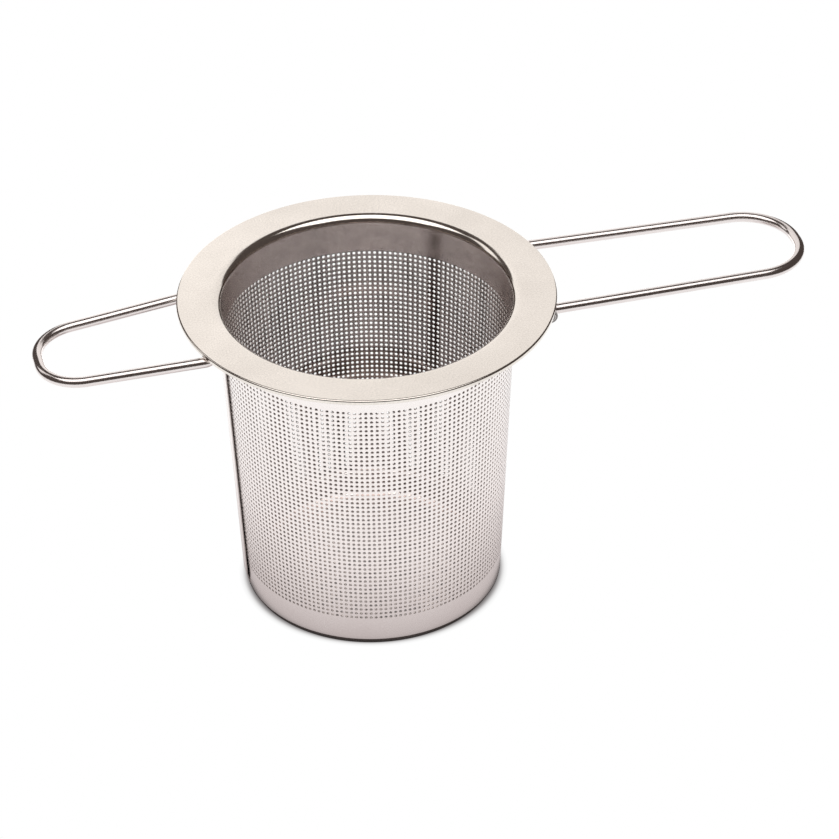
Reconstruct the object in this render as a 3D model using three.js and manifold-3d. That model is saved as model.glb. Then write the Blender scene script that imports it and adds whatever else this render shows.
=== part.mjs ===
// A tea-infuser basket: a drawn rim with a neck, a rolled mesh wall with a lapped seam,
// a pressed base and two folding wire handles of unequal length.
// Millimetres, +Z up. The origin is the middle of the base's underside. The long handle
// points along +X, the short one along -X, and both hinges turn about Y.

import * as THREE from "three";
import { mergeVertices } from "three/addons/utils/BufferGeometryUtils.js";
import Module from "manifold-3d";

// ---- driving dimensions ----
const HEIGHT = 81.5; // underside of the base to the top of the rim
const RIM_RADIUS = 45;
const RIM_SHEET = 0.5;
const LIP_DROP = 1.05; // how far the rim's turned-down edge reaches below its top
const LIP_CORNER = 0.4; // outside of the fold between the flat rim and its edge
const LIP_INNER_CORNER = 0.1;
const MOUTH_CORNER = 2.2; // radius of the roll from the flat rim into the neck

const WALL_TOP_RADIUS = 35.37; // outside of the mesh cone, measured level with the rim's top
const WALL_FOOT_RADIUS = 31.65; // the same cone at floor level
const WALL_SHEET = 0.25;
const WALL_TOP_GAP = 2.6; // rim's top down to the sheet's upper edge
const WALL_FOOT_HEIGHT = 1.95; // floor up to the sheet's lower edge
const LAP_STEP = 0.6; // how far the outer layer stands off at the seam
const LAP_EDGE_DEG = 182.4;
const LAP_FLAT_DEG = 7; // width of the lapped strip
const LAP_BLEND_DEG = 10; // run-out of the strip behind it

const NECK_DEPTH = 9.5; // rim's top down to the neck's lower edge
const BASE_SHEET = 0.4;
const BASE_CORNER = 1.9;
const BASE_SKIRT_HEIGHT = 7;
const SHELL_GAP = 0.06; // between sheets that lie one inside the other

const WIRE_RADIUS = 1.25;
const WIRE_BEND = 1.6; // centreline bend between a leg and its hinge pin
const HINGE_X = 40.2; // hinge axis from the middle of the basket
const HINGE_DROP = 2.8; // hinge axis below the rim's top
const LEG_HALF_SPAN = 14.4; // centre of a leg from the handle's middle line, at the hinge
const LONG_HANDLE = { reach: 67.1, tipHalfSpan: 13.1, tipCorner: 12.6, pinSide: 1, droopDeg: 0 };
const SHORT_HANDLE = { reach: 38.5, tipHalfSpan: 11, tipCorner: 10.4, pinSide: -1, droopDeg: 4 };

const KNUCKLE_RADIUS = 1.7;
const KNUCKLE_BORE = 1.33;
const KNUCKLE_WIDTH = 1.5;
const KNUCKLE_LEG_GAP = 0.1; // side play between a leg's bend and its knuckle
const PIN_OVERHANG = 0.2; // pin end beyond the knuckle
const TAB_LENGTH = 3.6; // flat tail of a knuckle, welded under the rim
const TAB_SHEET = 1;

const TURNS = 96; // facets round each turned sheet
const WIRE_FACETS = 16;
const BORE_FACETS = 24;
const EDGE_STEPS = 3;
const CORNER_STEPS = 6;
const BEND_STEPS = 4;
const TIP_STEPS = 10;

const DEG = Math.PI / 180;
const TAPER = (WALL_TOP_RADIUS - WALL_FOOT_RADIUS) / HEIGHT;

const wasm = await Module();
wasm.setup();

// ---- shared helpers ----

// Outside radius of the mesh cone at a height.
function coneRadius(z) {
  return WALL_FOOT_RADIUS + TAPER * z;
}

// Points of an arc in a radius-height profile, angles in degrees.
function arc(r, z, radius, from, to, steps) {
  const points = [];
  for (let i = 0; i <= steps; i++) {
    const a = (from + ((to - from) * i) / steps) * DEG;
    points.push([r + radius * Math.cos(a), z + radius * Math.sin(a)]);
  }
  return points;
}

function meshOf(name, geometry, color, roughness) {
  const material = new THREE.MeshStandardMaterial({ color, roughness, metalness: 1 });
  const mesh = new THREE.Mesh(geometry, material);
  mesh.name = name;
  return mesh;
}

// A closed geometry from rings of equal length, joined in order. Rings that close on
// themselves make a torus, and the others are capped with the given end points.
function skin(rings, caps) {
  const count = rings[0].length;
  const positions = rings.flat(2);
  const faces = [];
  const joins = caps ? rings.length - 1 : rings.length;
  for (let i = 0; i < joins; i++) {
    const a = i * count;
    const b = ((i + 1) % rings.length) * count;
    for (let j = 0; j < count; j++) {
      const k = (j + 1) % count;
      faces.push(a + j, b + j, b + k, a + j, b + k, a + k);
    }
  }
  if (caps) {
    const first = positions.length / 3;
    positions.push(...caps[0], ...caps[1]);
    const last = (rings.length - 1) * count;
    for (let j = 0; j < count; j++) {
      const k = (j + 1) % count;
      faces.push(first, j, k, first + 1, last + k, last + j);
    }
  }
  const geometry = new THREE.BufferGeometry();
  geometry.setAttribute("position", new THREE.Float32BufferAttribute(positions, 3));
  geometry.setIndex(faces);
  geometry.computeVertexNormals();
  return geometry;
}

// A ring-shaped sheet: the closed profile, a function of the angle, swept round the axis.
function ringSheet(angles, profileAt) {
  const rings = angles.map((a) =>
    profileAt(a).map(([r, z]) => [r * Math.cos(a * DEG), r * Math.sin(a * DEG), z]),
  );
  return skin(rings, null);
}

function evenAngles() {
  return Array.from({ length: TURNS }, (_, i) => (i * 360) / TURNS);
}

function solidOf(geometry) {
  const bare = geometry.clone();
  bare.deleteAttribute("normal");
  bare.deleteAttribute("uv");
  const merged = mergeVertices(bare, 1e-4);
  const mesh = new wasm.Mesh({
    numProp: 3,
    vertProperties: new Float32Array(merged.attributes.position.array),
    triVerts: new Uint32Array(merged.index.array),
  });
  return new wasm.Manifold(mesh);
}

function geometryOf(solid) {
  const mesh = solid.getMesh();
  const geometry = new THREE.BufferGeometry();
  geometry.setAttribute("position", new THREE.BufferAttribute(mesh.vertProperties, 3));
  geometry.setIndex(new THREE.BufferAttribute(mesh.triVerts, 1));
  geometry.computeVertexNormals();
  return geometry;
}

// ---- the rim: flat ring, turned-down lip and neck, drawn from one sheet ----
function rimFlange() {
  const rollZ = HEIGHT - MOUTH_CORNER;
  const neckFoot = HEIGHT - NECK_DEPTH;
  const neckOuter = (z) => coneRadius(z) - WALL_SHEET - SHELL_GAP;
  const neckInner = (z) => neckOuter(z) - RIM_SHEET;
  const rollR = neckInner(rollZ) + MOUTH_CORNER;
  const lipR = RIM_RADIUS - LIP_CORNER;
  const lipFoot = HEIGHT - LIP_DROP;
  const innerR = RIM_RADIUS - RIM_SHEET - LIP_INNER_CORNER;
  const innerZ = HEIGHT - RIM_SHEET - LIP_INNER_CORNER;
  const profile = [
    [neckInner(neckFoot), neckFoot],
    [neckOuter(neckFoot), neckFoot],
    ...arc(rollR, rollZ, MOUTH_CORNER - RIM_SHEET, 180, 90, CORNER_STEPS),
    ...arc(innerR, innerZ, LIP_INNER_CORNER, 90, 0, EDGE_STEPS),
    [RIM_RADIUS - RIM_SHEET, lipFoot],
    [RIM_RADIUS, lipFoot],
    ...arc(lipR, HEIGHT - LIP_CORNER, LIP_CORNER, 0, 90, EDGE_STEPS),
    ...arc(rollR, rollZ, MOUTH_CORNER, 90, 180, CORNER_STEPS),
  ];
  const geometry = ringSheet(evenAngles(), () => profile);
  return meshOf("rim_flange", geometry, 0xe4ddd6, 0.35);
}

// ---- the mesh wall: a cone rolled from perforated sheet, lapped at the seam ----
function lapStep(angle) {
  const back = LAP_EDGE_DEG - angle;
  if (back < 0) return 0;
  if (back <= LAP_FLAT_DEG) return LAP_STEP;
  return LAP_STEP * Math.max(0, 1 - (back - LAP_FLAT_DEG) / LAP_BLEND_DEG);
}

function meshWall() {
  const foot = WALL_FOOT_HEIGHT;
  const top = HEIGHT - WALL_TOP_GAP;
  const seam = [LAP_EDGE_DEG - LAP_FLAT_DEG, LAP_EDGE_DEG, LAP_EDGE_DEG + 0.05];
  const spacing = 360 / TURNS / 2;
  const clear = (a) => seam.every((s) => Math.abs(a - s) > spacing / 2);
  const angles = [...evenAngles().filter(clear), ...seam].sort((a, b) => a - b);
  const geometry = ringSheet(angles, (a) => [
    [coneRadius(foot) - WALL_SHEET, foot],
    [coneRadius(foot) + lapStep(a), foot],
    [coneRadius(top) + lapStep(a), top],
    [coneRadius(top) - WALL_SHEET, top],
  ]);
  return meshOf("mesh_wall", geometry, 0xd9d2cd, 0.4);
}

// ---- the base: a shallow pressed cup whose skirt stands inside the wall ----
function baseCup() {
  const skirtOuter = (z) => coneRadius(z) - WALL_SHEET - SHELL_GAP;
  const cornerR = skirtOuter(BASE_CORNER) - BASE_CORNER;
  const top = BASE_SKIRT_HEIGHT;
  const profile = [
    [0, 0],
    ...arc(cornerR, BASE_CORNER, BASE_CORNER, 270, 360, CORNER_STEPS),
    [skirtOuter(top), top],
    [skirtOuter(top) - BASE_SHEET, top],
    ...arc(cornerR, BASE_CORNER, BASE_CORNER - BASE_SHEET, 360, 270, CORNER_STEPS),
    [0, BASE_SHEET],
  ];
  // The lathe turns about Y, so the profile is swept there and stood up.
  const points = profile.map(([r, z]) => new THREE.Vector2(r, z));
  const geometry = new THREE.LatheGeometry(points, TURNS).rotateX(90 * DEG);
  const solid = solidOf(geometry);
  return meshOf("base_cup", geometryOf(solid), 0xd2cbc6, 0.4);
}

// ---- the handles: one bent wire each, a pin at both ends ----

// Replaces each inner corner of a flat path with an arc tangent to both of its sides.
function roundCorners(path, radii, steps) {
  const out = [path[0]];
  for (let i = 1; i < path.length - 1; i++) {
    const corner = path[i];
    const before = path[i - 1].clone().sub(corner).normalize();
    const after = path[i + 1].clone().sub(corner).normalize();
    const half = before.angleTo(after) / 2;
    const middle = before.clone().add(after).normalize();
    const centre = corner.clone().addScaledVector(middle, radii[i] / Math.sin(half));
    const start = corner.clone().addScaledVector(before, radii[i] / Math.tan(half)).sub(centre);
    const turn = Math.PI - 2 * half;
    const spin = Math.sign(before.clone().cross(after)) * -1;
    for (let k = 0; k <= steps[i]; k++) {
      const a = (spin * turn * k) / steps[i];
      const rotated = start.clone().rotateAround(new THREE.Vector2(), a);
      out.push(rotated.add(centre));
    }
  }
  out.push(path[path.length - 1]);
  return out;
}

// Knuckles stand outside the long handle's legs and inside the short one's.
function pinStart(handle) {
  return LEG_HALF_SPAN + handle.pinSide * (WIRE_BEND + KNUCKLE_LEG_GAP);
}

function handleWire(name, handle, side) {
  const pinEnd = pinStart(handle) + handle.pinSide * (KNUCKLE_WIDTH + PIN_OVERHANG);
  const half = [
    [0, pinEnd],
    [0, LEG_HALF_SPAN],
    [handle.reach, handle.tipHalfSpan],
  ];
  const whole = [...half, ...half.map(([u, v]) => [u, -v]).reverse()];
  const path = whole.map(([u, v]) => new THREE.Vector2(u, v));
  const radii = [0, WIRE_BEND, handle.tipCorner, handle.tipCorner, WIRE_BEND, 0];
  const steps = [0, BEND_STEPS, TIP_STEPS, TIP_STEPS, BEND_STEPS, 0];
  const line = roundCorners(path, radii, steps);

  const droop = handle.droopDeg * DEG;
  const along = new THREE.Vector3(side * Math.cos(droop), 0, -Math.sin(droop));
  const across = new THREE.Vector3(0, 1, 0);
  const upward = along.clone().cross(across);
  const hinge = new THREE.Vector3(side * HINGE_X, 0, HEIGHT - HINGE_DROP);
  const place = (p) => hinge.clone().addScaledVector(along, p.x).addScaledVector(across, p.y);

  const rings = line.map((p, i) => {
    const next = line[Math.min(i + 1, line.length - 1)];
    const last = line[Math.max(i - 1, 0)];
    const heading = next.clone().sub(last).normalize();
    const sideways = along.clone().multiplyScalar(-heading.y).addScaledVector(across, heading.x);
    return Array.from({ length: WIRE_FACETS }, (_, k) => {
      const a = (-2 * Math.PI * k) / WIRE_FACETS;
      const offset = sideways.clone().multiplyScalar(Math.cos(a) * WIRE_RADIUS);
      return place(p).add(offset).addScaledVector(upward, Math.sin(a) * WIRE_RADIUS).toArray();
    });
  });
  const ends = [line[0], line[line.length - 1]].map((p) => place(p).toArray());
  return meshOf(name, skin(rings, ends), 0xc9c6c4, 0.12);
}

// ---- the knuckles: strips wrapped round a pin, tails welded under the rim ----
function knuckle(name, handle, side, row) {
  const barrel = new THREE.CylinderGeometry(
    KNUCKLE_RADIUS, KNUCKLE_RADIUS, KNUCKLE_WIDTH, BORE_FACETS,
  );
  const drill = new THREE.CylinderGeometry(
    KNUCKLE_BORE, KNUCKLE_BORE, 2 * KNUCKLE_WIDTH, BORE_FACETS,
  );
  const weldGap = SHELL_GAP;
  const tabTop = HINGE_DROP - RIM_SHEET - weldGap;
  const tab = new THREE.BoxGeometry(TAB_LENGTH, KNUCKLE_WIDTH, TAB_SHEET);
  tab.translate((-side * TAB_LENGTH) / 2, 0, tabTop - TAB_SHEET / 2);
  const solid = solidOf(barrel).add(solidOf(tab)).subtract(solidOf(drill));
  const geometry = geometryOf(solid);
  const middle = row * (pinStart(handle) + (handle.pinSide * KNUCKLE_WIDTH) / 2);
  geometry.translate(side * HINGE_X, middle, HEIGHT - HINGE_DROP);
  return meshOf(name, geometry, 0xa8a3a0, 0.4);
}

const group = new THREE.Group();
group.name = "tea_infuser_basket";
group.add(
  rimFlange(),
  meshWall(),
  baseCup(),
  handleWire("long_handle", LONG_HANDLE, 1),
  handleWire("short_handle", SHORT_HANDLE, -1),
  knuckle("long_handle_knuckle_front", LONG_HANDLE, 1, -1),
  knuckle("long_handle_knuckle_rear", LONG_HANDLE, 1, 1),
  knuckle("short_handle_knuckle_front", SHORT_HANDLE, -1, -1),
  knuckle("short_handle_knuckle_rear", SHORT_HANDLE, -1, 1),
);

export default group;
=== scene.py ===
"""A perforated steel tea infuser basket with two folding wire handles, on a plain white studio floor."""
import math

import bpy
from mathutils import Matrix, Vector
from mathutils.geometry import delaunay_2d_cdt


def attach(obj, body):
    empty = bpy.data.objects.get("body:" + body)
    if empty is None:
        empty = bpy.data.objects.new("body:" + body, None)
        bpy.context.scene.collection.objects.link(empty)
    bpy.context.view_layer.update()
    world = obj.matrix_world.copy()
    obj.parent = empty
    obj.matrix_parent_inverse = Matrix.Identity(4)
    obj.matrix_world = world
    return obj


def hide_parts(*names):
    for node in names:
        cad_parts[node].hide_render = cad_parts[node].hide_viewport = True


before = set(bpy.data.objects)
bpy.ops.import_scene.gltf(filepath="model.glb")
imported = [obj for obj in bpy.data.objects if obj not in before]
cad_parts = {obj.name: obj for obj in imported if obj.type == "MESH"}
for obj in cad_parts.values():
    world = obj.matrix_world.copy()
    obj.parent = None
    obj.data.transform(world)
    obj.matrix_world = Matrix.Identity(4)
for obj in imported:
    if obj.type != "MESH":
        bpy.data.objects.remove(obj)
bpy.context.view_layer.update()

MM = 0.001
BASKET = "basket"
LONG_BODY = "long_handle_body"
SHORT_BODY = "short_handle_body"

# ---- driving sizes, in millimetres, the same as the solid part's ----
HEIGHT = 81.5
RIM_RADIUS = 45.0
RIM_SHEET = 0.5
LIP_DROP = 1.05
LIP_CORNER = 0.4
MOUTH_CORNER = 2.2
NECK_DEPTH = 9.5
WALL_TOP_RADIUS = 35.37
WALL_FOOT_RADIUS = 31.65
TAPER = (WALL_TOP_RADIUS - WALL_FOOT_RADIUS) / HEIGHT
WALL_SHEET = 0.25
WALL_TOP_DROP = 2.6
WALL_TOP = HEIGHT - WALL_TOP_DROP
WALL_FOOT = 1.95
LAP_STEP = 0.6  # how far the outer layer stands off at the seam
LAP_EDGE_DEG = 182.4
LAP_FLAT_DEG = 7.0
LAP_BLEND_DEG = 10.0
SHELL_GAP = 0.06  # left between nested sheets, where they are welded
BASE_SHEET = 0.4
BASE_CORNER = 1.9
BASE_SKIRT_HEIGHT = 7.0
WIRE_RADIUS = 1.25
WIRE_BEND = 1.6
HINGE_X = 40.2
HINGE_DROP = 2.8
HINGE_Z = HEIGHT - HINGE_DROP
LEG_HALF_SPAN = 14.4
LONG_HANDLE = {"reach": 67.1, "tip_half": 13.1, "corner": 12.6, "pin_side": 1, "droop": 0.0}
SHORT_HANDLE = {"reach": 38.5, "tip_half": 11.0, "corner": 10.4, "pin_side": -1, "droop": 4.0}
KNUCKLE_RADIUS = 1.7
KNUCKLE_BORE = 1.33
KNUCKLE_WIDTH = 1.5
KNUCKLE_LEG_GAP = 0.1
PIN_OVERHANG = 0.2
TAB_LENGTH = 3.6

# ---- finer shapes, in millimetres, that the solid part leaves out ----
LIP_HEM = 0.12  # least rounding of the folded sheet
NECK_LOOK_SHARE = 0.7  # of the mouth's roll, down to where the brushed neck begins
FOOT_SHADE_BAND = 0.35  # height of the band at the wall's foot that is painted dark as shade
LAP_SETTLE = 3.0  # height over which the step at the seam dies away at the foot
LAP_UNDER_DEG = 5.0  # how far the inner layer runs on under the outer one
BASE_HEM = 0.36  # rounding of the base skirt's rolled edge
SAME_POINT = 1e-6  # corners closer than this are one
KNUCKLE_WRAP_DEG = 310.0
TAB_JOGGLE = 0.62 * TAB_LENGTH  # the stepped part, beside the weld
PIN_ROUNDING = 0.18

# ---- fineness: parts of a turn, steps in each rounding, and where shading breaks ----
RIM_TURNS = 256
BASE_TURNS = 192
ROLL_STEPS = 10
LIP_STEPS = 8
LIP_HEM_STEPS = 3
FLAT_GUARD = 0.15  # width of the rings that end a flat face
BASE_CORNER_STEPS = 8
BASE_HEM_STEPS = 12
BASE_INSIDE_STEPS = 10
LAP_STEPS = 14
LAP_UNDER_STEPS = 5
WIRE_FACETS = 32
WIRE_BEND_STEPS = 14
TIP_STEPS = 32
PIN_ROUNDING_STEPS = 6
KNUCKLE_JOGGLE_STEPS = 8
KNUCKLE_WRAP_STEPS = 40
SHELL_CREASE_DEG = 50
WIRE_CREASE_DEG = 60
KNUCKLE_CREASE_DEG = 35

# ---- perforation ----
HOLE_COLUMNS = 170  # that a full turn would hold
HOLE_ROWS = 50
ROW_PITCH = 1.262
TOP_ROW_Z = 71.0
HOLE_RADIUS = 0.385
BASE_PITCH = 1.26
BASE_FIELD_RADIUS = 28.6
BASE_FIELD_MARGIN = 0.75 * BASE_PITCH
HOLE_SIDES = 8
EDGE_FACING = 0.7  # faces that look less far out or in than this are cut edges

# ---- grain ----
GRAIN_DETAIL = 4.0
CLOUD_SCALE = 60.0
CLOUD_DETAIL = 2.0
CLOUD_SHARE = 0.35  # of the tone, the rest being the fine grain
GRAIN_ROUGHNESS = 0.6
GRAIN_LOW = 0.3
GRAIN_HIGH = 0.7

# ---- camera: millimetres and degrees, aimed from the middle of the rim's top ----
CAMERA_AZIMUTH_DEG = 75.89
CAMERA_PITCH_DEG = 35.05
CAMERA_ROLL_DEG = -0.82
CAMERA_DISTANCE = 771.513
CAMERA_RIGHTWARD = 12.477
CAMERA_DOWNWARD = 29.893
CAMERA_LENS = 140.12
CAMERA_SENSOR = 36.0
CAMERA_NEAREST = 0.01
CAMERA_FARTHEST = 20.0

# ---- studio, in metres ----
TABLE_RADIUS = 0.32
TABLE_SIDES = 72
TABLE_RADIANCE = 1.12
# How bright and how warm the table's glow is at some distances from the basket's axis, in millimetres:
# painted shade darkens it close round the foot, and a painted warm tint there stands in for bounce light.
TABLE_SHADE = (
    (20.0, 0.15, 0.05),
    (29.0, 0.06, 0.08),
    (32.8, 0.07, 0.08),
    (34.3, 0.53, 0.08),
    (44.0, 0.68, 0.06),
    (62.0, 0.91, 0.035),
    (110.0, 1.0, 0.0),
)
# The soft contact shadow painted on the floor round the foot where the camera sees it, in the same terms.
CONTACT_SHADE = (
    (31.2, 0.20, 0.06),
    (31.8, 0.42, 0.03),
    (32.4, 0.74, 0.01),
    (32.9, 0.91, 0.0),
    (33.7, 1.0, 0.0),
)
CONTACT_STRETCH = 1.055  # distances to the front and back count this much longer
ROOM_COLOUR = (0.080, 0.064, 0.058)
PANEL_DISTANCE = 0.175
PANEL_TOP = 0.262
PANEL_LEFT = 0.118
PANEL_RIGHT = 0.128
PANEL_RADIANCE = 1.02
PANEL_FADE = -0.10  # brighter or darker than its middle at the two ends
LAMP_HEIGHT = 0.70
LAMP_LEFT = 0.70
LAMP_RIGHT = 0.50
LAMP_AHEAD = 0.07
LAMP_BEHIND = 0.58
LAMP_RADIANCE = 2.0
LAMP_COLOUR = (1, 0.985, 0.97)
SIDE_TURN_DEG = 70.0
SIDE_DISTANCE = 0.60
SIDE_FOOT = 0.20
SIDE_TOP = 0.72
SIDE_WIDTH = 0.18
SIDE_RADIANCE = 1.1


def cone_radius(z):
    """Outside radius of the wall at a height."""
    return WALL_FOOT_RADIUS + TAPER * z


def nested_radius(z):
    """Outside radius at a height of a part that fits inside the wall."""
    return cone_radius(z) - WALL_SHEET - SHELL_GAP


def eased(t):
    """A share from 0 to 1 that starts and ends gently."""
    return t * t * (3 - 2 * t)


def add_mesh(name, points, faces, material, body, replaces, crease_deg):
    """A closed piece from points in millimetres, smooth except over sharp creases."""
    mesh = bpy.data.meshes.new(name)
    mesh.from_pydata([tuple(c * MM for c in p) for p in points], [], faces)
    mesh.validate()
    mesh.shade_smooth()
    mesh.set_sharp_from_angle(angle=math.radians(crease_deg))
    mesh.materials.append(material)
    piece = bpy.data.objects.new(name, mesh)
    bpy.context.scene.collection.objects.link(piece)
    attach(piece, body)
    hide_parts(*replaces)
    return piece


# ---- material helpers ----
def new_material(name):
    material = bpy.data.materials.new(name)
    material.use_nodes = True
    tree = material.node_tree
    return material, tree, tree.nodes["Principled BSDF"]


def node(tree, kind, **inputs):
    made = tree.nodes.new(kind)
    for key, value in inputs.items():
        made.inputs[key.replace("_", " ")].default_value = value
    return made


def object_coordinates(tree, scale):
    """Object-space position stretched by a scale along each axis."""
    coordinates = tree.nodes.new("ShaderNodeTexCoord")
    mapping = tree.nodes.new("ShaderNodeMapping")
    mapping.inputs["Scale"].default_value = scale
    tree.links.new(coordinates.outputs["Object"], mapping.inputs["Vector"])
    return mapping.outputs["Vector"]


def plain_position(tree):
    """Object-space position as it is."""
    return object_coordinates(tree, (1, 1, 1))


def vector_math(tree, operation, *terms):
    """A sum on vectors, each of them a fixed one or another node's output."""
    made = tree.nodes.new("ShaderNodeVectorMath")
    made.operation = operation
    for at, term in enumerate(terms):
        if isinstance(term, tuple):
            made.inputs[at].default_value = term
        else:
            tree.links.new(term, made.inputs[at])
    return made


def around_axis(tree, turns_scale, height_scale):
    """Angle round the basket's axis and height, for grain that follows a turned or rolled sheet."""
    position = tree.nodes.new("ShaderNodeTexCoord").outputs["Object"]
    radial = vector_math(tree, "MULTIPLY", position, (1, 1, 0))
    unit = vector_math(tree, "NORMALIZE", radial.outputs[0])
    turned = vector_math(tree, "MULTIPLY", unit.outputs[0], (turns_scale, turns_scale, turns_scale))
    raised = vector_math(tree, "MULTIPLY", position, (0, 0, height_scale))
    return vector_math(tree, "ADD", turned.outputs[0], raised.outputs[0]).outputs[0]


def noise(tree, vector, scale, detail):
    made = node(tree, "ShaderNodeTexNoise", Scale=scale, Detail=detail, Roughness=GRAIN_ROUGHNESS)
    tree.links.new(vector, made.inputs["Vector"])
    return made.outputs["Fac"]


def ranged(tree, value, low, high):
    made = node(tree, "ShaderNodeMapRange", To_Min=low, To_Max=high)
    made.inputs["From Min"].default_value = GRAIN_LOW
    made.inputs["From Max"].default_value = GRAIN_HIGH
    tree.links.new(value, made.inputs["Value"])
    return made.outputs["Result"]


def tinted(tree, value, dark, light):
    ramp = tree.nodes.new("ShaderNodeValToRGB")
    ramp.color_ramp.elements[0].position = GRAIN_LOW
    ramp.color_ramp.elements[1].position = GRAIN_HIGH
    ramp.color_ramp.elements[0].color = (*dark, 1)
    ramp.color_ramp.elements[1].color = (*light, 1)
    tree.links.new(value, ramp.inputs["Fac"])
    return ramp.outputs["Color"]


def bumped(tree, value, strength, distance):
    made = node(tree, "ShaderNodeBump", Strength=strength, Distance=distance)
    tree.links.new(value, made.inputs["Height"])
    return made.outputs["Normal"]


def steel(name, vector_of, scale, dark, light, rough, bump):
    """Metal whose tone from dark to light, range of roughness and bump all come from one grain."""
    material, tree, shader = new_material(name)
    grain = noise(tree, vector_of(tree), scale, GRAIN_DETAIL)
    cloud = noise(tree, plain_position(tree), CLOUD_SCALE, CLOUD_DETAIL)
    both = tree.nodes.new("ShaderNodeMath")
    both.operation = "MULTIPLY_ADD"
    both.inputs[1].default_value = CLOUD_SHARE
    tree.links.new(cloud, both.inputs[0])
    share = tree.nodes.new("ShaderNodeMath")
    share.operation = "MULTIPLY"
    share.inputs[1].default_value = 1 - CLOUD_SHARE
    tree.links.new(grain, share.inputs[0])
    tree.links.new(share.outputs[0], both.inputs[2])
    shader.inputs["Metallic"].default_value = 1.0
    tree.links.new(tinted(tree, both.outputs[0], dark, light), shader.inputs["Base Color"])
    tree.links.new(ranged(tree, both.outputs[0], *rough), shader.inputs["Roughness"])
    tree.links.new(bumped(tree, grain, *bump), shader.inputs["Normal"])
    return material


def rim_material():
    return steel("rim_satin", plain_position, 2600.0,
                 (0.660, 0.617, 0.570), (0.885, 0.834, 0.777), (0.11, 0.17), (0.06, 0.00002))


def wall_material():
    return steel("wall_satin", lambda t: around_axis(t, 1.0, 40.0), 60.0,
                 (0.825, 0.775, 0.755), (0.905, 0.865, 0.845), (0.20, 0.30), (0.10, 0.00003))


# The wall sheet's inside face: polished, and darker than the outside as painted shade.
def wall_inside_material():
    return steel("wall_inside", lambda t: around_axis(t, 1.0, 1.5), 26.0,
                 (0.48, 0.435, 0.42), (0.62, 0.575, 0.56), (0.03, 0.07), (0.015, 0.00002))


def hole_edge_material():
    return steel("hole_edge", plain_position, 1500.0,
                 (0.64, 0.59, 0.57), (0.80, 0.75, 0.73), (0.30, 0.45), (0.10, 0.00002))


# Darker steel for the base's outer rounded corner: partly painted shade where it meets the table, the rest of
# its dark mirrored from the shaded table.
def base_edge_material():
    return steel("base_edge", lambda t: around_axis(t, 1.0, 40.0), 60.0,
                 (0.38, 0.34, 0.325), (0.50, 0.455, 0.44), (0.22, 0.32), (0.08, 0.00002))


# Near-black steel for the band at the wall's foot: painted shade, standing in for the dark line where the
# foot meets the table.
def foot_shade_material():
    return steel("foot_painted_shade", lambda t: around_axis(t, 1.0, 40.0), 60.0,
                 (0.100, 0.082, 0.077), (0.155, 0.130, 0.122), (0.30, 0.45), (0.08, 0.00002))


def neck_material():
    return steel("neck_brushed", lambda t: around_axis(t, 0.5, 30.0), 16.0,
                 (0.60, 0.525, 0.50), (0.78, 0.69, 0.66), (0.12, 0.22), (0.06, 0.00003))


def wire_material():
    return steel("wire_polished", lambda t: object_coordinates(t, (0.2, 1, 1)), 1500.0,
                 (0.67, 0.620, 0.605), (0.78, 0.730, 0.715), (0.14, 0.24), (0.06, 0.00002))


# Near-black for the hinge knuckles and the wire's end faces: painted shade, as they sit in shadow under the
# rim's edge.
def knuckle_material():
    return steel("knuckle_painted_shade", plain_position, 1800.0,
                 (0.16, 0.15, 0.145), (0.28, 0.265, 0.255), (0.20, 0.32), (0.2, 0.00003))


# ---- lathe ----
def arc(centre, radius, start_deg, end_deg, steps):
    out = []
    for k in range(steps + 1):
        a = math.radians(start_deg + (end_deg - start_deg) * k / steps)
        out.append((centre[0] + radius * math.cos(a), centre[1] + radius * math.sin(a)))
    return out


def lathe(profile, turns):
    """Points and faces of a closed profile (radius, height), counter-clockwise, turned about Z."""
    count = len(profile)
    points = []
    for t in range(turns):
        a = 2 * math.pi * t / turns
        points += [(r * math.cos(a), r * math.sin(a), z) for r, z in profile]
    faces = []
    for t in range(turns):
        here = t * count
        there = ((t + 1) % turns) * count
        for k in range(count):
            n = (k + 1) % count
            faces.append((here + k, there + k, there + n, here + n))
    return points, faces


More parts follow.
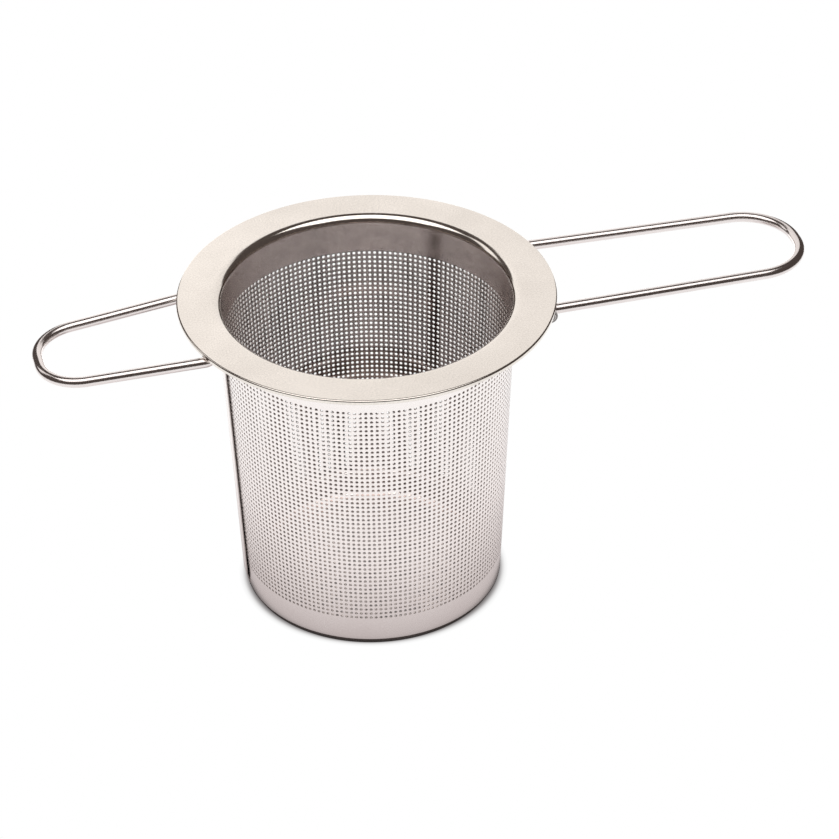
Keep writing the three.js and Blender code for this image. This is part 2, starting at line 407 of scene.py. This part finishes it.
def build_rim():
    """Flat rim, rolled lip and the neck that hangs down inside the wall."""
    top = HEIGHT
    under = HEIGHT - RIM_SHEET
    neck_foot = HEIGHT - NECK_DEPTH
    roll_foot = HEIGHT - MOUTH_CORNER
    roll_centre = (nested_radius(roll_foot) - RIM_SHEET + MOUTH_CORNER, roll_foot)
    inner_arc = arc(roll_centre, MOUTH_CORNER, 180, 90, ROLL_STEPS)
    outer_arc = arc(roll_centre, MOUTH_CORNER - RIM_SHEET, 90, 180, ROLL_STEPS)
    lip_centre = (RIM_RADIUS - LIP_CORNER, top - LIP_CORNER)
    lip_arc = arc(lip_centre, LIP_CORNER, 90, 0, LIP_STEPS)
    hem_z = top - LIP_DROP + LIP_HEM
    foot_out = arc((RIM_RADIUS - LIP_HEM, hem_z), LIP_HEM, 0, -90, LIP_HEM_STEPS)
    foot_in = arc((RIM_RADIUS - RIM_SHEET + LIP_HEM, hem_z), LIP_HEM, 270, 180, LIP_HEM_STEPS)
    under_arc = arc((RIM_RADIUS - RIM_SHEET - LIP_HEM, under - LIP_HEM), LIP_HEM, 0, 90, LIP_HEM_STEPS)
    # Narrow rings beside the rounded corners keep the shading of the flat faces flat.
    flat_inner = roll_centre[0] + FLAT_GUARD
    neck_top = roll_foot - FLAT_GUARD
    profile = [(nested_radius(neck_foot) - RIM_SHEET, neck_foot)]
    profile += [(nested_radius(neck_top) - RIM_SHEET, neck_top)]
    profile += inner_arc + [(flat_inner, top), (lip_centre[0] - FLAT_GUARD, top)] + lip_arc
    profile += foot_out + foot_in + under_arc
    profile += [(under_arc[-1][0] - FLAT_GUARD, under), (flat_inner, under)] + outer_arc
    profile += [(nested_radius(neck_foot), neck_foot)]
    points, faces = lathe(profile[::-1], RIM_TURNS)
    piece = add_mesh("rim_flange_fine", points, faces, RIM, BASKET, ["rim_flange"],
                     SHELL_CREASE_DEG)
    piece.data.materials.append(NECK)
    neck_look_top = top - MOUTH_CORNER * NECK_LOOK_SHARE
    for polygon in piece.data.polygons:
        centre = polygon.center / MM
        inside = math.hypot(centre.x, centre.y) < WALL_TOP_RADIUS and centre.z < neck_look_top
        polygon.material_index = 1 if inside else 0
    return piece


# ---- perforated sheet ----
def hole_corners():
    """Directions from a hole's middle to its corners, none of which points along a cell's side."""
    angles = [math.radians((k + 0.5) * 360 / HOLE_SIDES) for k in range(HOLE_SIDES)]
    return [(math.cos(a), math.sin(a)) for a in angles]


def faces_round_hole(ring, hole):
    """Faces that fill a square cell round its hole, anticlockwise like the two outlines."""
    corner = ring[2:] + ring[:2]
    faces = []
    for q in range(4):
        a, b, c = hole[2 * q], hole[2 * q + 1], hole[(2 * q + 2) % HOLE_SIDES]
        faces.append((corner[q], b, a))
        faces.append((corner[q], corner[(q + 1) % 4], c, b))
    return faces


def faces_through_hole(low, high):
    """The cut edge of a hole, between its outlines on the two sides of the sheet."""
    following = [(k, (k + 1) % HOLE_SIDES) for k in range(HOLE_SIDES)]
    return [(high[k], high[n], low[n], low[k]) for k, n in following]


def holed_cells(place, columns, rows, has_hole, reach):
    """Faces of a two-sided sheet of cells, with a hole in the cells that have one."""
    points = []
    index = {}

    def point(key, u, v, side):
        if key not in index:
            index[key] = len(points)
            points.append(place(u, v, side))
        return index[key]

    faces = []
    for side in (0, 1):
        for i in range(len(columns) - 1):
            for j in range(len(rows) - 1):
                u0, u1, v0, v1 = columns[i], columns[i + 1], rows[j], rows[j + 1]
                ring = [
                    point(("g", i, j, side), u0, v0, side),
                    point(("g", i + 1, j, side), u1, v0, side),
                    point(("g", i + 1, j + 1, side), u1, v1, side),
                    point(("g", i, j + 1, side), u0, v1, side),
                ]
                if not has_hole(i, j):
                    faces.append(tuple(ring) if side else tuple(ring[::-1]))
                    continue
                mid_u, mid_v = (u0 + u1) / 2, (v0 + v1) / 2
                hu, hv = reach(mid_v)
                hole = [
                    point(("h", i, j, k, side), mid_u + cu * hu, mid_v + cv * hv, side)
                    for k, (cu, cv) in enumerate(hole_corners())
                ]
                faces += [f if side else f[::-1] for f in faces_round_hole(ring, hole)]
                if side:
                    faces += faces_through_hole([index[("h", i, j, k, 0)] for k in range(HOLE_SIDES)], hole)
    return points, faces, index


def build_wall():
    """The wall: perforated sheet rolled into a cone, lapped over itself at the seam."""
    lap_edge = math.radians(LAP_EDGE_DEG)
    flat = math.radians(LAP_FLAT_DEG)
    blend = math.radians(LAP_BLEND_DEG)
    strip = math.radians(LAP_FLAT_DEG + LAP_BLEND_DEG)
    field_span = 2 * math.pi - strip
    field_columns = round(HOLE_COLUMNS * field_span / (2 * math.pi))
    under = math.radians(LAP_UNDER_DEG)
    # The sheet's own angle runs from the outer lap edge, turning backwards.
    turns = [strip * k / LAP_STEPS for k in range(LAP_STEPS + 1)]
    start = turns[-1]
    pitch = field_span / field_columns
    turns += [start + pitch * (k + 1) for k in range(field_columns)]
    turns += [turns[-1] + under * (k + 1) / LAP_UNDER_STEPS for k in range(LAP_UNDER_STEPS)]
    field_first = LAP_STEPS
    field_last = LAP_STEPS + field_columns

    slope = math.hypot(1, TAPER)
    row_step = ROW_PITCH / slope
    top_edge = TOP_ROW_Z + row_step / 2
    rows = [WALL_TOP, (WALL_TOP + top_edge) / 2]
    rows += [top_edge - row_step * k for k in range(HOLE_ROWS + 1)]
    plain_foot = [(rows[-1] + WALL_FOOT) / 2, WALL_FOOT + FOOT_SHADE_BAND, WALL_FOOT]
    rows = (rows + plain_foot)[::-1]
    hole_first = len(plain_foot)
    hole_last = hole_first + HOLE_ROWS

    def lift(turn, height):
        """How far the outer layer stands off, dying away round the wall and towards the foot."""
        settle = min((height - WALL_FOOT) / LAP_SETTLE, 1)
        return LAP_STEP * settle * (1 - eased(min(max((turn - flat) / blend, 0), 1)))

    def place(u, v, side):
        a = lap_edge - u
        r = cone_radius(v) + lift(u, v) - (0 if side else WALL_SHEET)
        return (r * math.cos(a), r * math.sin(a), v)

    def reach(height):
        return HOLE_RADIUS / cone_radius(height), HOLE_RADIUS / slope

    def has_hole(i, j):
        return field_first <= i < field_last and hole_first <= j < hole_last

    points, faces, index = holed_cells(place, turns, rows, has_hole, reach)
    last_u, last_v = len(turns) - 1, len(rows) - 1
    for j in range(last_v):
        for i, flip in ((0, True), (last_u, False)):
            f = (index[("g", i, j, 0)], index[("g", i, j + 1, 0)],
                 index[("g", i, j + 1, 1)], index[("g", i, j, 1)])
            faces.append(f[::-1] if flip else f)
    for i in range(last_u):
        for j, flip in ((0, False), (last_v, True)):
            f = (index[("g", i, j, 0)], index[("g", i + 1, j, 0)],
                 index[("g", i + 1, j, 1)], index[("g", i, j, 1)])
            faces.append(f[::-1] if flip else f)
    # The angle turns backwards, so every face so far points into the sheet.
    faces = [f[::-1] for f in faces]
    piece = add_mesh("mesh_wall_perforated", points, faces, WALL, BASKET, ["mesh_wall"],
                     SHELL_CREASE_DEG)
    for material in (WALL_INSIDE, HOLE_EDGE, FOOT_SHADE):
        piece.data.materials.append(material)
    # Faces that look inwards take the inside steel, which is darkened as painted shade.
    for polygon in piece.data.polygons:
        outward = Vector((polygon.center.x, polygon.center.y, 0)).normalized()
        facing = polygon.normal.dot(outward)
        polygon.material_index = 1 if facing < -EDGE_FACING else 2 if facing < EDGE_FACING else 0
        turn = (lap_edge - math.atan2(outward.y, outward.x)) % (2 * math.pi)
        # The foot band, outside the seam's strip, takes the painted shade.
        if polygon.center.z < (WALL_FOOT + FOOT_SHADE_BAND) * MM and turn > strip:
            polygon.material_index = 3
    return piece


def build_base():
    """The base: a perforated floor with a rounded corner and a short skirt inside the wall."""
    turns = BASE_TURNS
    corner_centre = (nested_radius(BASE_CORNER) - BASE_CORNER, BASE_CORNER)
    hem_centre = (nested_radius(BASE_SKIRT_HEIGHT) - BASE_HEM, BASE_SKIRT_HEIGHT - BASE_HEM)
    hem_end_deg = 360 - math.degrees(math.acos(1 - BASE_SHEET / BASE_HEM))
    path = arc(corner_centre, BASE_CORNER, -90, 0, BASE_CORNER_STEPS)
    path += arc(hem_centre, BASE_HEM, 0, hem_end_deg, BASE_HEM_STEPS)
    path += arc(corner_centre, BASE_CORNER - BASE_SHEET, 0, -90, BASE_INSIDE_STEPS)
    points = []
    faces = []
    count = len(path)
    for t in range(turns):
        a = 2 * math.pi * t / turns
        points += [(r * math.cos(a), r * math.sin(a), z) for r, z in path]
    for t in range(turns):
        here, there = t * count, ((t + 1) % turns) * count
        for k in range(count - 1):
            faces.append((here + k, there + k, there + k + 1, here + k + 1))
    edge = corner_centre[0]

    half = math.ceil(BASE_FIELD_RADIUS / BASE_PITCH)
    cells = []
    for i in range(-half, half):
        for j in range(-half, half):
            x, y = (i + 0.5) * BASE_PITCH, (j + 0.5) * BASE_PITCH
            if math.hypot(x, y) < BASE_FIELD_RADIUS - BASE_FIELD_MARGIN:
                cells.append((i, j))
    chosen = set(cells)
    grid = {}

    def corner_point(i, j, side):
        key = (i, j, side)
        if key not in grid:
            grid[key] = len(points)
            points.append((i * BASE_PITCH, j * BASE_PITCH, BASE_SHEET if side else 0.0))
        return grid[key]

    for i, j in cells:
        holes = []
        for side in (0, 1):
            ring = [corner_point(i, j, side), corner_point(i + 1, j, side),
                    corner_point(i + 1, j + 1, side), corner_point(i, j + 1, side)]
            hole = []
            for cu, cv in hole_corners():
                hole.append(len(points))
                points.append(((i + 0.5) * BASE_PITCH + cu * HOLE_RADIUS,
                               (j + 0.5) * BASE_PITCH + cv * HOLE_RADIUS, BASE_SHEET if side else 0.0))
            faces += [f if side else f[::-1] for f in faces_round_hole(ring, hole)]
            holes.append(hole)
        faces += faces_through_hole(*holes)

    # The plain ring between the holed cells' stepped outline and the round corner.
    outline = []
    for i, j in cells:
        for (di, dj), a, b in (((0, -1), (i, j), (i + 1, j)), ((1, 0), (i + 1, j), (i + 1, j + 1)),
                               ((0, 1), (i + 1, j + 1), (i, j + 1)), ((-1, 0), (i, j + 1), (i, j))):
            if (i + di, j + dj) not in chosen:
                outline.append((a, b))
    stairs = sorted({p for e in outline for p in e})
    number = {p: k for k, p in enumerate(stairs)}
    flat = [Vector((p[0] * BASE_PITCH, p[1] * BASE_PITCH)) for p in stairs]
    rim_at = len(flat)
    for t in range(turns):
        a = 2 * math.pi * t / turns
        flat.append(Vector((edge * math.cos(a), edge * math.sin(a))))
    lines = [(number[a], number[b]) for a, b in outline]
    lines += [(rim_at + t, rim_at + (t + 1) % turns) for t in range(turns)]
    out, _, tris, origin, _, _ = delaunay_2d_cdt(flat, lines, [], 0, SAME_POINT)
    source = [o[0] for o in origin]
    for tri in tris:
        middle = sum((out[k] for k in tri), Vector((0, 0))) / 3
        if (math.floor(middle.x / BASE_PITCH), math.floor(middle.y / BASE_PITCH)) in chosen:
            continue
        for side in (0, 1):
            ids = []
            for k in tri:
                s = source[k]
                if s < rim_at:
                    ids.append(corner_point(*stairs[s], side))
                else:
                    ids.append((s - rim_at) * count + (count - 1 if side else 0))
            faces.append(tuple(ids) if side else tuple(ids[::-1]))
    piece = add_mesh("base_cup_perforated", points, faces, WALL, BASKET, ["base_cup"],
                     SHELL_CREASE_DEG)
    piece.data.materials.append(BASE_EDGE)
    piece.data.materials.append(NECK)
    # The base's outer corner takes the darker steel of painted shade, and its inner skirt takes the neck's
    # steel.
    for polygon in piece.data.polygons[:turns * (count - 1)]:
        along = polygon.index % (count - 1)
        if along < BASE_CORNER_STEPS:
            polygon.material_index = 1
        elif along > BASE_CORNER_STEPS + BASE_HEM_STEPS:
            polygon.material_index = 2
    return piece


# ---- wires ----
def rounded_path(corners, radii, steps):
    """A flat path of points with its corners rounded."""
    out = [Vector(corners[0])]
    for i in range(1, len(corners) - 1):
        here = Vector(corners[i])
        back = (Vector(corners[i - 1]) - here).normalized()
        ahead = (Vector(corners[i + 1]) - here).normalized()
        half = back.angle(ahead) / 2
        centre = here + (back + ahead).normalized() * (radii[i] / math.sin(half))
        start = here + back * (radii[i] / math.tan(half)) - centre
        end = here + ahead * (radii[i] / math.tan(half)) - centre
        turn = math.atan2(start.x * end.y - start.y * end.x, start.dot(end))
        for k in range(steps[i] + 1):
            a = turn * k / steps[i]
            c, s = math.cos(a), math.sin(a)
            out.append(centre + Vector((start.x * c - start.y * s, start.x * s + start.y * c)))
    out.append(Vector(corners[-1]))
    return out


def headed(line):
    """Each point of a line with the direction in which the line runs there."""
    count = len(line)
    ahead = [line[min(i + 1, count - 1)] - line[max(i - 1, 0)] for i in range(count)]
    return [(p, way.normalized()) for p, way in zip(line, ahead)]


def pin_start(size):
    """Distance from the middle plane to the side of a knuckle next to the wire's leg."""
    return LEG_HALF_SPAN + size["pin_side"] * (WIRE_BEND + KNUCKLE_LEG_GAP)


def build_handle(name, node_name, size, side, body):
    """A wire loop whose ends are bent along the hinge to make its pins."""
    pin_end = pin_start(size) + size["pin_side"] * (KNUCKLE_WIDTH + PIN_OVERHANG)
    half = [(0, pin_end), (0, LEG_HALF_SPAN), (size["reach"], size["tip_half"])]
    whole = half + [(u, -v) for u, v in reversed(half)]
    radii = [0, WIRE_BEND, size["corner"], size["corner"], WIRE_BEND, 0]
    steps = [0, WIRE_BEND_STEPS, TIP_STEPS, TIP_STEPS, WIRE_BEND_STEPS, 0]
    line = rounded_path(whole, radii, steps)
    droop = math.radians(size["droop"])
    along = Vector((side * math.cos(droop), 0, -math.sin(droop)))
    across = Vector((0, 1, 0))
    upward = along.cross(across)
    hinge = Vector((side * HINGE_X, 0, HINGE_Z))
    # Each station is a place on the wire's middle line, its heading and its radius.
    stations = [(p, heading, WIRE_RADIUS) for p, heading in headed(line)]
    first, first_heading, _ = stations[0]
    last, last_heading, _ = stations[-1]
    start_cap = []
    end_cap = []
    for k in range(PIN_ROUNDING_STEPS + 1):
        a = math.radians(90 * k / PIN_ROUNDING_STEPS)
        inset = PIN_ROUNDING * (1 - math.cos(a))
        radius = WIRE_RADIUS - PIN_ROUNDING * (1 - math.sin(a))
        start_cap.append((first + first_heading * inset, first_heading, radius))
        end_cap.append((last - last_heading * inset, last_heading, radius))
    stations = start_cap + stations[1:-1] + end_cap[::-1]
    points = []
    for p, heading, radius in stations:
        sideways = along * -heading.y + across * heading.x
        base = hinge + along * p.x + across * p.y
        for k in range(WIRE_FACETS):
            a = -2 * math.pi * k / WIRE_FACETS
            points.append(tuple(base + sideways * (math.cos(a) * radius) + upward * (math.sin(a) * radius)))
    faces = []
    end = (len(stations) - 1) * WIRE_FACETS
    for a in range(0, end, WIRE_FACETS):
        b = a + WIRE_FACETS
        for k in range(WIRE_FACETS):
            n = (k + 1) % WIRE_FACETS
            faces.append((a + k, b + k, b + n, a + n))
    faces.append(tuple(range(WIRE_FACETS)))
    faces.append(tuple(range(end, end + WIRE_FACETS))[::-1])
    piece = add_mesh(name, points, faces, WIRE, body, [node_name], WIRE_CREASE_DEG)
    # The wire's two end faces take the knuckles' dark painted shade.
    piece.data.materials.append(KNUCKLE)
    for cap in piece.data.polygons[-2:]:
        cap.material_index = 1
    return piece


def build_knuckle(node_name, size, side, row):
    """A strip welded flat under the rim, stepped down and wrapped round the pin."""
    thick = KNUCKLE_RADIUS - KNUCKLE_BORE
    middle = (KNUCKLE_RADIUS + KNUCKLE_BORE) / 2
    top = HEIGHT - RIM_SHEET - SHELL_GAP - HINGE_Z - thick / 2
    line = [Vector((-TAB_LENGTH, top)), Vector((-TAB_JOGGLE, top))]
    for k in range(1, KNUCKLE_JOGGLE_STEPS + 1):
        t = k / KNUCKLE_JOGGLE_STEPS
        line.append(Vector((-TAB_JOGGLE * (1 - t), top + (middle - top) * eased(t))))
    for k in range(1, KNUCKLE_WRAP_STEPS + 1):
        a = math.radians(90 - KNUCKLE_WRAP_DEG * k / KNUCKLE_WRAP_STEPS)
        line.append(Vector((middle * math.cos(a), middle * math.sin(a))))
    centre_y = row * (pin_start(size) + size["pin_side"] * KNUCKLE_WIDTH / 2)
    points = []
    for p, heading in headed(line):
        normal = Vector((-heading.y, heading.x))
        for off, y in ((1, -1), (1, 1), (-1, 1), (-1, -1)):
            q = p + normal * (off * thick / 2)
            points.append((side * (HINGE_X + q.x), centre_y + y * KNUCKLE_WIDTH / 2, HINGE_Z + q.y))
    faces = []
    end = 4 * (len(line) - 1)
    for a in range(0, end, 4):
        b = a + 4
        for k in range(4):
            n = (k + 1) % 4
            faces.append((a + k, b + k, b + n, a + n))
    faces.append((0, 1, 2, 3))
    faces.append((end + 3, end + 2, end + 1, end))
    if side < 0:
        faces = [f[::-1] for f in faces]
    return add_mesh(node_name + "_strip", points, faces, KNUCKLE, BASKET, [node_name],
                    KNUCKLE_CREASE_DEG)


# ---- studio ----
def build_camera():
    """A long lens, a little to the left of the front, looking down."""
    azimuth = math.radians(CAMERA_AZIMUTH_DEG)
    pitch = math.radians(CAMERA_PITCH_DEG)
    roll = math.radians(CAMERA_ROLL_DEG)
    level = math.cos(pitch)
    forward = Vector((level * math.cos(azimuth), level * math.sin(azimuth), -math.sin(pitch)))
    right = Vector((math.sin(azimuth), -math.cos(azimuth), 0))
    up = right.cross(forward)
    tilted_right = right * math.cos(roll) + up * math.sin(roll)
    tilted_up = up * math.cos(roll) - right * math.sin(roll)
    rim_centre = Vector((0, 0, HEIGHT))
    place = rim_centre - forward * CAMERA_DISTANCE + tilted_right * CAMERA_RIGHTWARD
    place -= tilted_up * CAMERA_DOWNWARD
    camera = bpy.data.objects.new("camera", bpy.data.cameras.new("camera"))
    camera.data.lens = CAMERA_LENS
    camera.data.sensor_width = CAMERA_SENSOR
    camera.data.clip_start = CAMERA_NEAREST
    camera.data.clip_end = CAMERA_FARTHEST
    axes = Matrix((tilted_right, tilted_up, -forward)).transposed()
    camera.matrix_world = Matrix.Translation(place * MM) @ axes.to_4x4()
    bpy.context.scene.collection.objects.link(camera)
    bpy.context.scene.camera = camera


def white_to_camera(tree, other):
    """A colour that is plain white to the camera, so the backdrop stays blank, and else is another."""
    path = tree.nodes.new("ShaderNodeLightPath")
    mix = tree.nodes.new("ShaderNodeMixRGB")
    mix.inputs["Color2"].default_value = (1, 1, 1, 1)
    tree.links.new(path.outputs["Is Camera Ray"], mix.inputs["Fac"])
    tree.links.new(other, mix.inputs["Color1"])
    return mix


def shade_ramp(tree, value, reach, shades):
    """Grey levels at distances up to a reach, each a little warmer than grey."""
    share = tree.nodes.new("ShaderNodeMath")
    share.operation = "DIVIDE"
    share.inputs[1].default_value = reach * MM
    tree.links.new(value, share.inputs[0])
    ramp = tree.nodes.new("ShaderNodeValToRGB")
    stops = ramp.color_ramp.elements
    while len(stops) < len(shades):
        stops.new(0.5)
    for stop, (radius, level, warmth) in zip(stops, shades):
        stop.position = radius / reach
        stop.color = (level, level * (1 - warmth), level * (1 - warmth), 1)
    tree.links.new(share.outputs[0], ramp.inputs["Fac"])
    return ramp.outputs["Color"]


def build_floor():
    """A round glowing table, with shade painted into its glow close round the basket's foot, a painted
    contact shadow where the camera sees it, and clear from below.
    """
    mesh = bpy.data.meshes.new("floor")
    angles = [2 * math.pi * k / TABLE_SIDES for k in range(TABLE_SIDES)]
    edge = [(TABLE_RADIUS * math.cos(a), TABLE_RADIUS * math.sin(a), 0) for a in angles]
    mesh.from_pydata(edge, [], [tuple(range(TABLE_SIDES))])
    floor = bpy.data.objects.new("floor", mesh)
    material, tree, shader = new_material("studio_floor")
    coordinates = tree.nodes.new("ShaderNodeTexCoord")
    distance = vector_math(tree, "LENGTH", coordinates.outputs["Object"])
    # Other rays see the table's glow with painted shade round the foot.
    glow = shade_ramp(tree, distance.outputs["Value"], TABLE_SHADE[-1][0],
                      [(radius, level * TABLE_RADIANCE, warmth) for radius, level, warmth in TABLE_SHADE])
    seen = white_to_camera(tree, glow)
    turned = tree.nodes.new("ShaderNodeMapping")
    turned.vector_type = "TEXTURE"
    turned.inputs["Rotation"].default_value = (0, 0, math.radians(CAMERA_AZIMUTH_DEG) - math.pi / 2)
    turned.inputs["Scale"].default_value = (1, 1 / CONTACT_STRETCH, 1)
    tree.links.new(coordinates.outputs["Object"], turned.inputs["Vector"])
    spread = vector_math(tree, "LENGTH", turned.outputs["Vector"])
    # The camera sees the floor white except for a painted contact shadow round the foot.
    contact = shade_ramp(tree, spread.outputs["Value"], CONTACT_SHADE[-1][0], CONTACT_SHADE)
    tree.links.new(contact, seen.inputs["Color2"])
    shader.inputs["Base Color"].default_value = (0, 0, 0, 1)
    shader.inputs["Specular IOR Level"].default_value = 0.0
    shader.inputs["Emission Strength"].default_value = 1.0
    tree.links.new(seen.outputs["Color"], shader.inputs["Emission Color"])
    side = tree.nodes.new("ShaderNodeNewGeometry")
    clear = tree.nodes.new("ShaderNodeBsdfTransparent")
    pick = tree.nodes.new("ShaderNodeMixShader")
    tree.links.new(side.outputs["Backfacing"], pick.inputs["Fac"])
    tree.links.new(shader.outputs[0], pick.inputs[1])
    tree.links.new(clear.outputs[0], pick.inputs[2])
    tree.links.new(pick.outputs[0], tree.nodes["Material Output"].inputs["Surface"])
    mesh.materials.append(material)
    bpy.context.scene.collection.objects.link(floor)


def panel_light(name, place, rotation, size, radiance, fade=0.0):
    """A flat lamp of a given brightness that mirrors in metal but is not itself in shot."""
    lamp = bpy.data.lights.new(name, "AREA")
    lamp.shape = "RECTANGLE"
    lamp.size, lamp.size_y = size
    lamp.energy = radiance * math.pi * size[0] * size[1]
    lamp.color = LAMP_COLOUR
    if fade:
        lamp.use_nodes = True
        tree = lamp.node_tree
        geometry = tree.nodes.new("ShaderNodeNewGeometry")
        split = tree.nodes.new("ShaderNodeSeparateXYZ")
        tree.links.new(geometry.outputs["Parametric"], split.inputs[0])
        level = node(tree, "ShaderNodeMapRange", To_Min=1 - fade, To_Max=1 + fade)
        tree.links.new(split.outputs["X"], level.inputs["Value"])
        tree.links.new(level.outputs["Result"], tree.nodes["Emission"].inputs["Strength"])
    holder = bpy.data.objects.new(name, lamp)
    holder.location = place
    holder.rotation_euler = rotation
    holder.visible_camera = False
    bpy.context.scene.collection.objects.link(holder)


def build_light():
    """A bright upright panel beyond the basket, a wide lamp over it and one beside it, in a dim warm room."""
    world = bpy.data.worlds.new("studio")
    bpy.context.scene.world = world
    world.use_nodes = True
    tree = world.node_tree
    room = tree.nodes.new("ShaderNodeRGB")
    room.outputs[0].default_value = (*ROOM_COLOUR, 1)
    backdrop = white_to_camera(tree, room.outputs[0])
    tree.links.new(backdrop.outputs["Color"], tree.nodes["Background"].inputs["Color"])
    azimuth = math.radians(CAMERA_AZIMUTH_DEG)
    ahead = Vector((math.cos(azimuth), math.sin(azimuth), 0))
    rightward = Vector((math.sin(azimuth), -math.cos(azimuth), 0))
    up = Vector((0, 0, 1))
    heading = azimuth - math.pi / 2
    panel_place = ahead * PANEL_DISTANCE + rightward * (PANEL_RIGHT - PANEL_LEFT) / 2
    panel_light("panel", panel_place + up * PANEL_TOP / 2, (-math.pi / 2, 0, heading),
                (PANEL_LEFT + PANEL_RIGHT, PANEL_TOP), PANEL_RADIANCE, PANEL_FADE)
    lamp_place = ahead * (LAMP_AHEAD - LAMP_BEHIND) / 2 + rightward * (LAMP_RIGHT - LAMP_LEFT) / 2
    panel_light("lamp", lamp_place + up * (HEIGHT * MM + LAMP_HEIGHT), (0, 0, heading),
                (LAMP_LEFT + LAMP_RIGHT, LAMP_AHEAD + LAMP_BEHIND), LAMP_RADIANCE)
    turned = azimuth + math.radians(SIDE_TURN_DEG)
    side_place = Vector((math.cos(turned), math.sin(turned), 0)) * SIDE_DISTANCE
    panel_light("side", side_place + up * (SIDE_FOOT + SIDE_TOP) / 2,
                (-math.pi / 2, 0, turned - math.pi / 2), (SIDE_WIDTH, SIDE_TOP - SIDE_FOOT), SIDE_RADIANCE)
    bpy.context.scene.view_settings.view_transform = "Standard"


RIM = rim_material()
NECK = neck_material()
WALL = wall_material()
WALL_INSIDE = wall_inside_material()
HOLE_EDGE = hole_edge_material()
BASE_EDGE = base_edge_material()
FOOT_SHADE = foot_shade_material()
WIRE = wire_material()
KNUCKLE = knuckle_material()

build_camera()
build_rim()
build_wall()
build_base()
build_handle("long_handle_wire", "long_handle", LONG_HANDLE, 1, LONG_BODY)
build_handle("short_handle_wire", "short_handle", SHORT_HANDLE, -1, SHORT_BODY)
for end, row in (("front", -1), ("rear", 1)):
    build_knuckle("long_handle_knuckle_" + end, LONG_HANDLE, 1, row)
    build_knuckle("short_handle_knuckle_" + end, SHORT_HANDLE, -1, row)
build_floor()
build_light()
